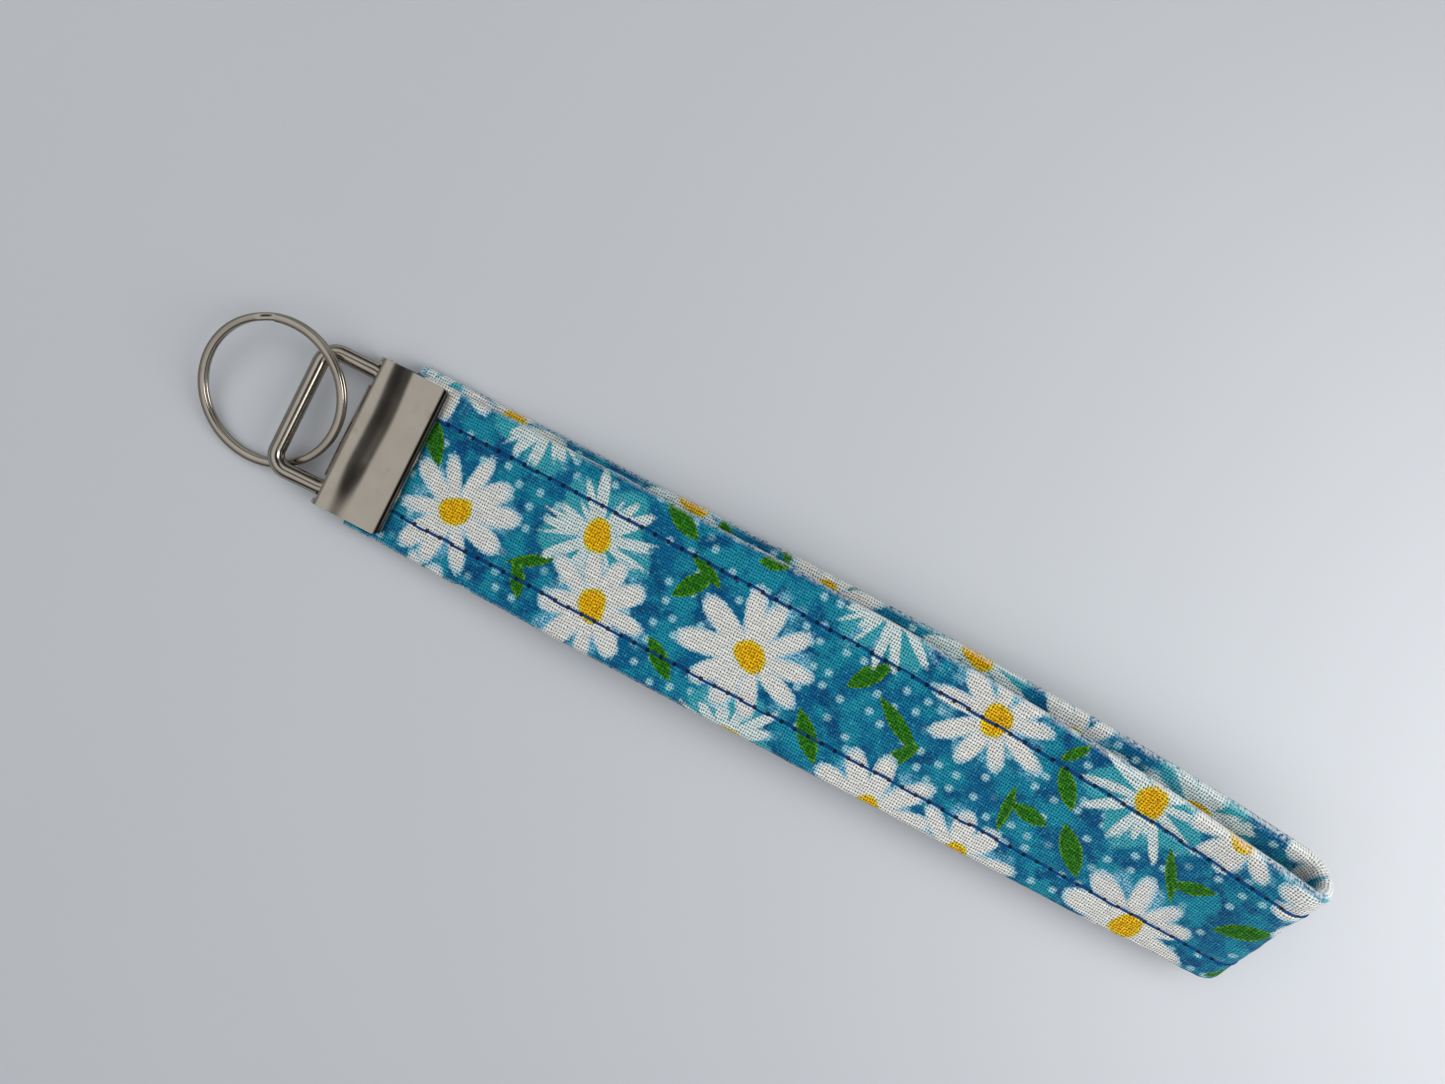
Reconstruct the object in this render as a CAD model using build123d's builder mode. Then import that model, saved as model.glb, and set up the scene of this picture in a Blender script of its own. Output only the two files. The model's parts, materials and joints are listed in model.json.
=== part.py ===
"""Wristlet keychain: a looped fabric strap crimped in a one-inch clamp, with a wire bail and a split ring.

Millimetres. The origin is the middle of the clamp's flat underside, on the table. +X runs from the
clamp along the strap to the loop's bight, +Y across the strap and +Z up.
"""

from build123d import *
from math import cos, pi, radians, sin
import os

# Clamp: a folded sheet with two inward lips that bite the strap's ends.
clamp_width = 25.4
clamp_depth = 12.4
clamp_height = 5.0
sheet = 0.8
spine_radius = 1.6
lip_radius = 1.0
lip_length = 0.7
lip_corner_radius = 1.6
tooth_pitch = 2.0
tooth_gap = 1.0
tooth_depth = 0.4
bail_slot_width = 4.2
bail_slot_offset = 9.95
bail_slot_height = 4.8

# Bail: a closed wire rectangle whose inner bar turns in the clamp's spine.
wire = 2.6
bail_half_width = 10.2
bail_length = 10.4
bail_corner_radius = 2.6
bail_tilt = 10.0
running_clearance = 0.05

# Split ring: two coils of flat wire, joined by one ramp between them.
ring_radius = 11.55
ring_band = 1.3
coil_thickness = 0.8
coil_gap = 0.05
coil_corner_radius = 0.2
ring_offset = -19.2
ring_tilt = 15.2
ramp_angle = 114.0
ramp_half_angle = 8.0
table_clearance = 0.05

# Strap: folded printed cotton around an interfacing core, topstitched along both edges.
strap_width = 27.0
strap_thickness = 2.0
cover_wall = 0.5
core_clearance = 0.05
stitch_row = 8.1
thread = 0.3
thread_clearance = 0.03
gripped_thickness = 1.6
pinched_thickness = 0.9
layer_gap = 0.1
strap_end = 0.0
grip_end = 7.2

# Loop: two legs that spread apart and roll over onto their low edge towards the bight. At the
# clamp the legs don't lie quite on top of one another.
loop_tip = 153.4
root_half_gap = 1.2
bight_half_gap = 3.4
spread_share = 0.35
twist_at_bight = 42.0
twist_power = 2.0
low_edge_hold = 0.65
upper_offset = -0.2
lower_offset = 1.0
station_step = 6.0

# Where the strap bends. Each pair is the end of one stretch and the start of the next.
neck_start = 9.6
neck_end = 12.8
first_bend = (12.8, 16.2)
middle_bend = (77.4, 80.0)
last_bend = (139.4, 146.4)
bight_arc = 89.0

lip_x = clamp_depth / 2
clamp_middle = clamp_height / 2
bight_x = loop_tip - bight_half_gap - strap_thickness / 2
pivot_x = -clamp_depth / 2 + sheet + wire / 2 + running_clearance
outer_thread = strap_thickness / 2 - thread / 2

os.makedirs("parts", exist_ok=True)


def loop_share(x):
    """How far along the loop x lies, from 0 at the lip to 1 at the tip."""
    return (x - lip_x) / (loop_tip - lip_x)


def twist(x):
    """The strap's roll about its own run, in radians."""
    return radians(twist_at_bight) * loop_share(x) ** twist_power


def half_gap(x):
    """Half the distance between the two legs' middle surfaces."""
    spread = sin(pi / 2 * min(1, loop_share(x) / spread_share))
    return root_half_gap + (bight_half_gap - root_half_gap) * spread


def loop_height(x):
    """The height between the legs at which the lower leg's low edge touches the table."""
    edge_rise = strap_width / 2 * sin(twist(x))
    return edge_rise + (half_gap(x) + strap_thickness / 2) * cos(twist(x)) + table_clearance


def clamp_offset(side):
    """How far to the side a leg's centre line leaves the clamp."""
    return upper_offset if side > 0 else lower_offset


def loop_offset(x, side):
    """How far to the side a leg's centre line lies at x; rolling takes it towards the low edge."""
    rolled = low_edge_hold * strap_width / 2 * (1 - cos(twist(x)))
    return clamp_offset(side) * (1 - loop_share(x)) - rolled


def section_plane(x, side):
    """A plane square to a leg at x: its X runs across the width, its Y out of the face."""
    roll = twist(x)
    origin = (x, loop_offset(x, side), loop_height(x))
    return Plane(origin=origin, x_dir=(0, cos(roll), sin(roll)), z_dir=(1, 0, 0))


def stations(x_start, x_end):
    """Evenly spaced places along a stretch of strap, both ends included."""
    count = max(1, round((x_end - x_start) / station_step))
    return [x_start + (x_end - x_start) * i / count for i in range(count + 1)]


def leg_band(x_start, x_end, side, width, thickness, across=0.0, out=0.0, mode=Mode.ADD):
    """Loft a band along one leg; side is 1 for the upper leg and -1 for the lower leg."""
    sections = []
    for x in stations(x_start, x_end):
        with BuildSketch(section_plane(x, side), mode=Mode.PRIVATE) as section:
            with Locations((across, side * half_gap(x) + out)):
                Rectangle(width, thickness)
        sections.append(section.sketch.face())
    loft(sections, ruled=True, mode=mode)


def bight_band(side, width, thickness, across=0.0, out=0.0, mode=Mode.ADD):
    """Sweep a band along one half of the bight, which rolls by the full twist all the way."""
    roll = radians(twist_at_bight)
    start = last_bend[1]
    origin = (start, loop_offset(loop_tip, side), loop_height(loop_tip))
    across_loop = Plane(origin=origin, x_dir=(1, 0, 0), z_dir=(0, -cos(roll), -sin(roll)))
    square_to_strap = Plane(
        origin=origin, x_dir=(0, cos(roll), sin(roll)), z_dir=(1, 0, 0)
    )
    with BuildLine(across_loop, mode=Mode.PRIVATE) as path:
        straight = Line((0, side * bight_half_gap), (bight_x - start, side * bight_half_gap))
        JernArc(straight @ 1, straight % 1, bight_half_gap, -side * bight_arc)
    with BuildSketch(square_to_strap, mode=Mode.PRIVATE) as section:
        with Locations((across, side * bight_half_gap + out)):
            Rectangle(width, thickness)
    sweep(section.sketch, path=path.wire(), mode=mode)


core_width = strap_width - 2 * cover_wall
core_thickness = strap_thickness - 2 * cover_wall
groove = thread + 2 * thread_clearance

# ---------------------------------------------------------------- clamp

with BuildPart() as crimp_clamp:
    with BuildSketch(Plane.XZ.offset(-clamp_width / 2)):
        with Locations((0, clamp_middle)):
            Rectangle(clamp_depth, clamp_height)
        fillet(vertices().group_by(Axis.X)[0], spine_radius)
        fillet(vertices().group_by(Axis.X)[-1], lip_radius)
        with BuildSketch(mode=Mode.PRIVATE) as hollow:
            with Locations((0, clamp_middle)):
                Rectangle(clamp_depth - 2 * sheet, clamp_height - 2 * sheet)
            fillet(hollow.vertices().group_by(Axis.X)[0], spine_radius - sheet)
        add(hollow.sketch, mode=Mode.SUBTRACT)
        with Locations((lip_x, clamp_middle)):
            Rectangle(4 * sheet, clamp_height - 2 * sheet - 2 * lip_length, mode=Mode.SUBTRACT)
    extrude(amount=clamp_width)
    with BuildSketch():
        Rectangle(clamp_depth, clamp_width)
        fillet(vertices().group_by(Axis.X)[-1], lip_corner_radius)
    extrude(amount=clamp_height, mode=Mode.INTERSECT)
    slot_places = [(-lip_x, side * bail_slot_offset, clamp_middle) for side in (-1, 1)]
    with Locations(*slot_places):
        Box(2 * sheet, bail_slot_width, bail_slot_height, mode=Mode.SUBTRACT)
        Box(2 * spine_radius, bail_slot_width, clamp_height - 2 * sheet, mode=Mode.SUBTRACT)
    tooth_count = int(clamp_width / tooth_pitch) - 2
    mouth = clamp_height - 2 * sheet - 2 * lip_length + 2 * tooth_depth
    with Locations((lip_x, 0, clamp_middle)):
        with GridLocations(0, tooth_pitch, 1, tooth_count):
            Box(4 * sheet, tooth_gap, mouth, mode=Mode.SUBTRACT)
crimp_clamp.part.label = "crimp_clamp"
export_step(crimp_clamp.part, "parts/crimp_clamp.step")

# ---------------------------------------------------------------- bail

bail_plane = Plane(
    origin=(pivot_x, 0, clamp_middle),
    x_dir=(-cos(radians(bail_tilt)), 0, sin(radians(bail_tilt))),
    z_dir=(-sin(radians(bail_tilt)), 0, -cos(radians(bail_tilt))),
)
with BuildPart() as bail_wire:
    with BuildLine(bail_plane) as loop:
        rim = FilletPolyline(
            (0, -bail_half_width),
            (0, bail_half_width),
            (bail_length, bail_half_width),
            (bail_length, -bail_half_width),
            radius=bail_corner_radius,
            close=True,
        )
    with BuildSketch(Plane(origin=rim @ 0, z_dir=rim % 0)):
        Circle(wire / 2)
    sweep()
bail_wire.part.label = "bail_wire"
export_step(bail_wire.part, "parts/bail_wire.step")

# ---------------------------------------------------------------- split ring

ring_half_thickness = coil_thickness + coil_gap / 2
ring_outer_radius = ring_radius + ring_band / 2
lean = radians(ring_tilt)
ring_height = ring_outer_radius * sin(lean) + ring_half_thickness * cos(lean) + table_clearance
ring_plane = Plane(
    origin=(ring_offset, 0, ring_height), x_dir=(1, 0, 0), z_dir=(0, -sin(lean), cos(lean))
)
ring_axis = Axis(ring_plane.origin, ring_plane.z_dir)
coil_height = (coil_thickness + coil_gap) / 2


def coil_section(angle, height):
    """The flat wire's section at an angle round the ring, at a height from its mid-plane."""
    turn = radians(angle)
    outward = ring_plane.x_dir * cos(turn) + ring_plane.y_dir * sin(turn)
    backward = ring_plane.x_dir * sin(turn) - ring_plane.y_dir * cos(turn)
    place = Plane(origin=ring_plane.origin, x_dir=outward, z_dir=backward)
    with BuildSketch(place, mode=Mode.PRIVATE) as section:
        with Locations((ring_radius, height)):
            RectangleRounded(ring_band, coil_thickness, coil_corner_radius)
    return section.sketch


with BuildPart() as split_ring:
    coil_arc = 360 - 2 * ramp_half_angle
    after_ramp = ramp_angle + ramp_half_angle
    before_ramp = ramp_angle - ramp_half_angle
    for height in (-coil_height, coil_height):
        revolve(coil_section(after_ramp, height), axis=ring_axis, revolution_arc=coil_arc)
    ramp_ends = [
        coil_section(before_ramp, -coil_height).face(),
        coil_section(after_ramp, coil_height).face(),
    ]
    loft(ramp_ends, ruled=True)
split_ring.part.label = "split_ring"
export_step(split_ring.part, "parts/split_ring.step")

# ---------------------------------------------------------------- strap ends inside the clamp

grip_width = strap_width
pinch_start = lip_x - sheet - layer_gap
pinch_stop = lip_x + layer_gap
for name, side in (("upper", 1), ("lower", -1)):
    inner = clamp_middle + side * layer_gap / 2
    thick = clamp_middle + side * (layer_gap / 2 + gripped_thickness)
    pinched = clamp_middle + side * (layer_gap / 2 + pinched_thickness)
    offset = clamp_offset(side)
    with BuildPart() as cover:
        with BuildSketch(Plane.XZ.offset(-grip_width / 2 - offset)):
            with BuildLine():
                Polyline(
                    (strap_end, inner),
                    (strap_end, thick),
                    (pinch_start, thick),
                    (pinch_start, pinched),
                    (pinch_stop, pinched),
                    (pinch_stop, thick),
                    (grip_end, thick),
                    (grip_end, inner),
                    close=True,
                )
            make_face()
        extrude(amount=grip_width)
        pocket_length = pinch_start - cover_wall - strap_end
        pocket_height = gripped_thickness - 2 * cover_wall
        pocket_middle = (inner + thick) / 2
        with Locations((strap_end + pocket_length / 2, offset, pocket_middle)):
            Box(pocket_length, core_width, pocket_height, mode=Mode.SUBTRACT)
    cover.part.label = f"{name}_grip_cover"
    export_step(cover.part, f"parts/{name}_grip_cover.step")

    with BuildPart() as core:
        with Locations((strap_end + pocket_length / 2, offset, pocket_middle)):
            Box(
                pocket_length - 2 * core_clearance,
                core_width - 2 * core_clearance,
                pocket_height - 2 * core_clearance,
            )
    core.part.label = f"{name}_grip_interfacing"
    export_step(core.part, f"parts/{name}_grip_interfacing.step")

# ---------------------------------------------------------------- the strap's legs

stretches = (
    ("neck", neck_start, neck_end),
    ("leg_1", first_bend[1], middle_bend[0]),
    ("leg_2", middle_bend[1], last_bend[0]),
)
thread_places = [
    (across, face) for across in (-stitch_row, stitch_row) for face in (-outer_thread, outer_thread)
]
for leg, side in (("upper", 1), ("lower", -1)):
    for stretch, x_start, x_end in stretches:
        with BuildPart() as cover:
            leg_band(x_start, x_end, side, strap_width, strap_thickness)
            leg_band(x_start, x_end, side, core_width, core_thickness, mode=Mode.SUBTRACT)
            for across, face in thread_places:
                leg_band(x_start, x_end, side, groove, groove, across, face, Mode.SUBTRACT)
        cover.part.label = f"{leg}_{stretch}_cover"
        export_step(cover.part, f"parts/{leg}_{stretch}_cover.step")

        with BuildPart() as core:
            leg_band(
                x_start,
                x_end,
                side,
                core_width - 2 * core_clearance,
                core_thickness - 2 * core_clearance,
            )
        core.part.label = f"{leg}_{stretch}_interfacing"
        export_step(core.part, f"parts/{leg}_{stretch}_interfacing.step")

        with BuildPart() as threads:
            for across, face in thread_places:
                leg_band(x_start, x_end, side, thread, thread, across, face)
        threads.part.label = f"{leg}_{stretch}_topstitching"
        export_step(threads.part, f"parts/{leg}_{stretch}_topstitching.step")

# ---------------------------------------------------------------- the bight, parted at its middle

for leg, side in (("upper", 1), ("lower", -1)):
    with BuildPart() as cover:
        bight_band(side, strap_width, strap_thickness)
        bight_band(side, core_width, core_thickness, mode=Mode.SUBTRACT)
        for across, face in thread_places:
            bight_band(side, groove, groove, across, face, Mode.SUBTRACT)
    cover.part.label = f"{leg}_bight_cover"
    export_step(cover.part, f"parts/{leg}_bight_cover.step")

    with BuildPart() as core:
        bight_band(side, core_width - 2 * core_clearance, core_thickness - 2 * core_clearance)
    core.part.label = f"{leg}_bight_interfacing"
    export_step(core.part, f"parts/{leg}_bight_interfacing.step")

    with BuildPart() as threads:
        for across, face in thread_places:
            bight_band(side, thread, thread, across, face)
    threads.part.label = f"{leg}_bight_topstitching"
    export_step(threads.part, f"parts/{leg}_bight_topstitching.step")
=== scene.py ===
"""Looks for the wristlet keychain: printed, topstitched strap, clamp, wire bail and split ring.

Blender 4.5, metres, in the CAD frame. Shapes are worked out in millimetres and scaled at the end.
"""

import json
import math

import bmesh
import bpy
import numpy as np
from mathutils import Matrix, Vector


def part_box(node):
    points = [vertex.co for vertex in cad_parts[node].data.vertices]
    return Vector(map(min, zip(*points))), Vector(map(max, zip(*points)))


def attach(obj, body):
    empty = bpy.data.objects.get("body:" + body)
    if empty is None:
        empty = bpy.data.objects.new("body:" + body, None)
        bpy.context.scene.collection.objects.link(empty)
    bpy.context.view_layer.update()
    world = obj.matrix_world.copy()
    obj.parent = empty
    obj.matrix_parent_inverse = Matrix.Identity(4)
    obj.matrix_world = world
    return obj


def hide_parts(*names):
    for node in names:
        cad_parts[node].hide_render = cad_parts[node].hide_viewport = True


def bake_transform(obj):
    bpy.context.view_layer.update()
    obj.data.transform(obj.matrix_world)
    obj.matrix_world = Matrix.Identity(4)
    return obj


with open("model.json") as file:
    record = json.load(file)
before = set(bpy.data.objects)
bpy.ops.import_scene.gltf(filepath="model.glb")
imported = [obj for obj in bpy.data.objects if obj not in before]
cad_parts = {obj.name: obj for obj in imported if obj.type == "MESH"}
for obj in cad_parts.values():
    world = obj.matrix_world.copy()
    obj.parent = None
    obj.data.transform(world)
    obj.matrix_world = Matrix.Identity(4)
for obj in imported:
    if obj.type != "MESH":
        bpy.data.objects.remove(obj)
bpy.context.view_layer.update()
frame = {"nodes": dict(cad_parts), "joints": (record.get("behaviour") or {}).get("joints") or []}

MM = 0.001
SEED = 7


def cad_box_mm(node):
    """Lowest and highest corner of a CAD node, in millimetres."""
    low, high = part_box(node)
    return np.array(low) / MM, np.array(high) / MM


def joint_mm(name):
    """Where a joint's axis passes, in millimetres."""
    joint = next(j for j in frame["joints"] if j["name"] == name)
    return np.array(joint["pos_m"]) / MM


# ------------------------------------------------------------------ sizes

_, clamp_high = cad_box_mm("crimp_clamp")
grip_low, grip_high = cad_box_mm("upper_grip_cover")
lower_grip_low, lower_grip_high = cad_box_mm("lower_grip_cover")
_, bight_high = cad_box_mm("upper_bight_cover")

lip_x = clamp_high[0]
clamp_height = clamp_high[2]
clamp_middle = clamp_height / 2
strap_width = grip_high[1] - grip_low[1]
strap_end = grip_low[0]
loop_tip = bight_high[0]

strap_thickness = 2.0
gripped_thickness = 1.6
pinch_depth = 0.7
layer_gap = 0.1
root_half_gap = 1.2
bight_half_gap = 3.4
spread_share = 0.35
twist_at_bight = math.radians(42)
twist_power = 2.0
low_edge_hold = 0.65
upper_offset = (grip_low[1] + grip_high[1]) / 2
lower_offset = (lower_grip_low[1] + lower_grip_high[1]) / 2
table_gap = 0.05
bight_x = loop_tip - bight_half_gap - strap_thickness / 2
half_bight = bight_half_gap * math.pi / 2
strap_middle = bight_x + half_bight

ring_radius = 11.55
ring_band = 1.3
coil_thickness = 0.8
coil_gap = 0.05
ring_tilt = 15.2

edge_radius = 0.9
stitch_row = 8.1
stitch_pitch = 2.3
thread_radius = 0.22
row_step = 0.35
outer_columns = 84
inner_columns = 46
edge_columns = 9

# ------------------------------------------------------------------ node graphs


def linear(red, green, blue):
    """A screen colour, 0 to 255, as the linear colour that nodes take."""
    channels = [c / 255 for c in (red, green, blue)]
    return [c / 12.92 if c <= 0.04045 else ((c + 0.055) / 1.055) ** 2.4 for c in channels] + [1.0]


class Graph:
    """The nodes of a new material or world, with one short call for each kind used here."""

    def __init__(self, owner):
        owner.use_nodes = True
        self.owner = owner
        self.tree = owner.node_tree

    def node(self, kind, **settings):
        made = self.tree.nodes.new(kind)
        for key, value in settings.items():
            setattr(made, key, value)
        return made

    def feed(self, socket, value):
        if isinstance(value, bpy.types.NodeSocket):
            self.tree.links.new(value, socket)
        else:
            socket.default_value = value

    def math(self, operation, *values, clamp=False):
        made = self.node("ShaderNodeMath", operation=operation, use_clamp=clamp)
        for socket, value in zip(made.inputs, values):
            self.feed(socket, value)
        return made.outputs[0]

    def vector(self, operation, *values):
        made = self.node("ShaderNodeVectorMath", operation=operation)
        for socket, value in zip(made.inputs, values):
            self.feed(socket, value)
        return made.outputs[0]

    def vector_dot(self, first, second):
        made = self.node("ShaderNodeVectorMath", operation="DOT_PRODUCT")
        self.feed(made.inputs[0], first)
        self.feed(made.inputs[1], second)
        return made.outputs["Value"]

    def mix(self, share, first, second, blend="MIX"):
        made = self.node("ShaderNodeMix", data_type="RGBA", blend_type=blend)
        self.feed(made.inputs["Factor"], share)
        self.feed(made.inputs["A"], first)
        self.feed(made.inputs["B"], second)
        return made.outputs["Result"]

    def step(self, value, low, high, first=0.0, second=1.0):
        """A smooth step of value from first to second between low and high."""
        made = self.node("ShaderNodeMapRange", interpolation_type="SMOOTHSTEP")
        for socket, entry in zip(made.inputs, (value, low, high, first, second)):
            self.feed(socket, entry)
        return made.outputs[0]

    def noise(self, place, scale, detail=3.0, roughness=0.5):
        made = self.node("ShaderNodeTexNoise")
        self.feed(made.inputs["Vector"], place)
        made.inputs["Scale"].default_value = scale
        made.inputs["Detail"].default_value = detail
        made.inputs["Roughness"].default_value = roughness
        return made.outputs["Fac"]

    def attribute(self, name):
        return self.node("ShaderNodeAttribute", attribute_name=name).outputs["Vector"]

    def split(self, vector):
        made = self.node("ShaderNodeSeparateXYZ")
        self.feed(made.inputs[0], vector)
        return made.outputs[0], made.outputs[1], made.outputs[2]

    def join(self, x, y, z=0.0):
        made = self.node("ShaderNodeCombineXYZ")
        for socket, value in zip(made.inputs, (x, y, z)):
            self.feed(socket, value)
        return made.outputs[0]

    def bump(self, height, distance, strength=1.0, under=None):
        made = self.node("ShaderNodeBump")
        made.inputs["Strength"].default_value = strength
        made.inputs["Distance"].default_value = distance
        self.feed(made.inputs["Height"], height)
        if under is not None:
            self.feed(made.inputs["Normal"], under)
        return made.outputs[0]

    def finish(self, shader="Principled BSDF", **inputs):
        """Feed the shader's inputs (_ stands for a space) and give the material or world."""
        sockets = self.tree.nodes[shader].inputs
        for name, value in inputs.items():
            self.feed(sockets[name.replace("_", " ")], value)
        return self.owner


# ------------------------------------------------------------------ materials


def weave(graph, along, across):
    """Plain weave of a cloth: (height of the yarns, painted shade in the gaps between them)."""
    yarn_along, yarn_across = 0.42, 0.50
    drift = graph.noise(graph.join(along, across), 0.9, 2.0)
    along = graph.math("ADD", along, graph.math("MULTIPLY", drift, 0.5))
    across = graph.math("ADD", across, graph.math("MULTIPLY", drift, -0.5))
    count_a = graph.math("DIVIDE", along, yarn_along)
    count_b = graph.math("DIVIDE", across, yarn_across)
    crown_a = graph.math("SINE", graph.math("MULTIPLY", graph.math("FRACT", count_a), math.pi))
    crown_b = graph.math("SINE", graph.math("MULTIPLY", graph.math("FRACT", count_b), math.pi))
    floors = graph.math("ADD", graph.math("FLOOR", count_a), graph.math("FLOOR", count_b))
    over = graph.math("FLOORED_MODULO", floors, 2.0)
    warp = graph.math("MULTIPLY", crown_a, graph.math("MULTIPLY_ADD", crown_b, 0.4, 0.6))
    weft = graph.math("MULTIPLY", crown_b, graph.math("MULTIPLY_ADD", crown_a, 0.4, 0.6))
    under = graph.math("SUBTRACT", 1.0, over)
    height = graph.math("MULTIPLY_ADD", over, warp, graph.math("MULTIPLY", under, weft))
    hole_a = graph.math("SUBTRACT", 1.0, crown_a)
    hole_b = graph.math("SUBTRACT", 1.0, crown_b)
    crossing = graph.step(graph.math("MULTIPLY", hole_a, hole_b), 0.03, 0.42)
    furrows = graph.math("MAXIMUM", hole_a, hole_b)
    return height, graph.math("MULTIPLY_ADD", crossing, 0.72, graph.math("MULTIPLY", furrows, 0.28))


def to_needle_hole(graph, along):
    """Distance along the seam to the nearest needle hole, in millimetres."""
    stitches = graph.math("FRACT", graph.math("DIVIDE", along, stitch_pitch))
    off_hole = graph.math("MULTIPLY", graph.math("SUBTRACT", stitches, 0.5), stitch_pitch)
    return graph.math("ABSOLUTE", off_hole)


def printed_cotton():
    """Quilting cotton with a watercolour print of daisies and leaves on mottled blue."""
    graph = Graph(bpy.data.materials.new("printed_cotton"))
    cloth = graph.attribute("cloth")
    along, across, _ = graph.split(cloth)
    white, pale, spike = graph.split(graph.attribute("petals"))
    halo, heart, leaf = graph.split(graph.attribute("greens"))
    brush = graph.math("SUBTRACT", graph.noise(cloth, 1.6, 4.0, 0.65), 0.5)

    def inside(field, soft=0.12, ragged=0.8):
        edge = graph.math("MULTIPLY_ADD", brush, ragged, field)
        return graph.step(edge, -soft, soft)

    wash = graph.noise(cloth, 0.16, 4.0, 0.62)
    deep = graph.noise(graph.vector("ADD", cloth, (31.0, 17.0, 5.0)), 0.22, 5.0, 0.6)
    blue, teal, deep_blue = linear(0, 100, 146), linear(22, 142, 168), linear(0, 80, 130)
    light_teal, dot_blue = linear(92, 188, 204), linear(160, 212, 224)
    colour = graph.mix(graph.step(wash, 0.40, 0.60), blue, teal)
    colour = graph.mix(graph.step(deep, 0.50, 0.64), colour, deep_blue)
    colour = graph.mix(graph.step(brush, 0.02, 0.25, 0.0, 0.55), colour, light_teal)

    dots = graph.node(
        "ShaderNodeTexVoronoi", feature="F1", distance="MINKOWSKI", voronoi_dimensions="2D"
    )
    graph.feed(dots.inputs["Vector"], graph.vector("ADD", cloth, (3.0, 9.0, 0.0)))
    dots.inputs["Scale"].default_value = 0.29
    dots.inputs["Exponent"].default_value = 2.3
    dots.inputs["Randomness"].default_value = 0.65
    faint, _, _ = graph.split(dots.outputs["Color"])
    speck = graph.math("MULTIPLY_ADD", brush, 0.22, dots.outputs["Distance"])
    speck = graph.step(speck, 0.10, 0.24, 1.0, 0.0)
    speck = graph.math("MULTIPLY", speck, graph.step(faint, 0.1, 0.45))
    colour = graph.mix(graph.math("MULTIPLY", speck, 0.85), colour, dot_blue)

    streak = graph.noise(cloth, 2.6, 2.0)
    turquoise = graph.mix(streak, linear(10, 132, 156), linear(84, 192, 202))
    colour = graph.mix(inside(halo, 0.5, 1.6), colour, turquoise)
    petal_blue, petal_pale = linear(52, 150, 190), linear(150, 204, 222)
    shadow_petal = graph.mix(graph.step(streak, 0.35, 0.65), petal_blue, petal_pale)
    patchy = graph.math("MULTIPLY", inside(pale, 0.35, 0.7), graph.step(wash, 0.44, 0.58))
    colour = graph.mix(patchy, colour, shadow_petal)
    leaf_rim, leaf_green, leaf_dark = linear(104, 164, 44), linear(52, 134, 22), linear(24, 92, 18)
    green = graph.mix(graph.step(leaf, 0.05, 0.55), leaf_rim, leaf_green)
    green = graph.mix(graph.step(brush, -0.12, 0.14), leaf_dark, green)
    colour = graph.mix(inside(leaf, 0.1, 0.5), colour, green)
    cream, cool_white = linear(226, 226, 222), linear(190, 222, 226)
    petal_rim, petal_tint = linear(166, 206, 220), linear(176, 212, 226)
    spike_inside = inside(spike, 0.12, 0.5)
    colour = graph.mix(spike_inside, colour, graph.mix(streak, cool_white, cream))
    petal = graph.mix(graph.step(white, 0.0, 0.5), petal_rim, cream)
    tint = graph.math("MULTIPLY", graph.step(wash, 0.5, 0.68), graph.step(white, 1.2, 0.2))
    petal = graph.mix(graph.math("MULTIPLY", tint, 0.6), petal, petal_tint)
    colour = graph.mix(inside(white, 0.12, 0.9), colour, petal)
    lemon, yellow, ochre = linear(222, 212, 60), linear(240, 190, 12), linear(204, 138, 4)
    yolk = graph.mix(graph.step(heart, 0.1, 0.8), lemon, yellow)
    yolk = graph.mix(graph.step(streak, 0.48, 0.60), yolk, ochre)
    colour = graph.mix(inside(heart, 0.15, 1.0), colour, yolk)

    height, gap = weave(graph, along, across)
    yarn = graph.noise(graph.join(graph.math("MULTIPLY", along, 0.25), across), 2.2, 2.0)
    tone = graph.math("MULTIPLY_ADD", yarn, 0.80, 0.74)
    uneven = graph.math("MULTIPLY_ADD", yarn, 0.7, 0.45)
    # Painted shade: the colour darkens in the gaps between the yarns.
    dark = graph.math("MULTIPLY", graph.math("MULTIPLY", gap, uneven), 1.25)
    tone = graph.math("SUBTRACT", tone, dark)
    colour = graph.mix(1.0, colour, graph.join(tone, tone, tone), "MULTIPLY")

    faded, from_row, facing = graph.split(graph.attribute("wear_and_hole_shade"))
    span = graph.math("POWER", to_needle_hole(graph, along), 2.0)
    span = graph.math("ADD", span, graph.math("POWER", graph.math("ABSOLUTE", from_row), 2.0))
    # Painted shade: a dark spot at each needle hole on the strap's faces, where the thread goes
    # into the cloth.
    hole = graph.math("MULTIPLY", graph.step(span, 0.08, 0.20, 0.95, 0.0), facing)
    frost = graph.math("MULTIPLY", faded, graph.step(graph.noise(cloth, 2.0, 4.0), 0.35, 0.6))
    colour = graph.mix(frost, colour, linear(224, 228, 228))
    colour = graph.mix(hole, colour, linear(6, 20, 52))

    relief = graph.math("SUBTRACT", height, graph.math("MULTIPLY", gap, 0.8))
    fuzz = graph.noise(cloth, 9.0, 3.0)
    normal = graph.bump(graph.math("MULTIPLY_ADD", fuzz, 0.5, relief), 0.00010, 0.75)
    return graph.finish(
        Base_Color=colour,
        Roughness=0.92,
        Specular_IOR_Level=0.10,
        Sheen_Weight=0.05,
        Sheen_Roughness=0.6,
        Normal=normal,
    )


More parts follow.
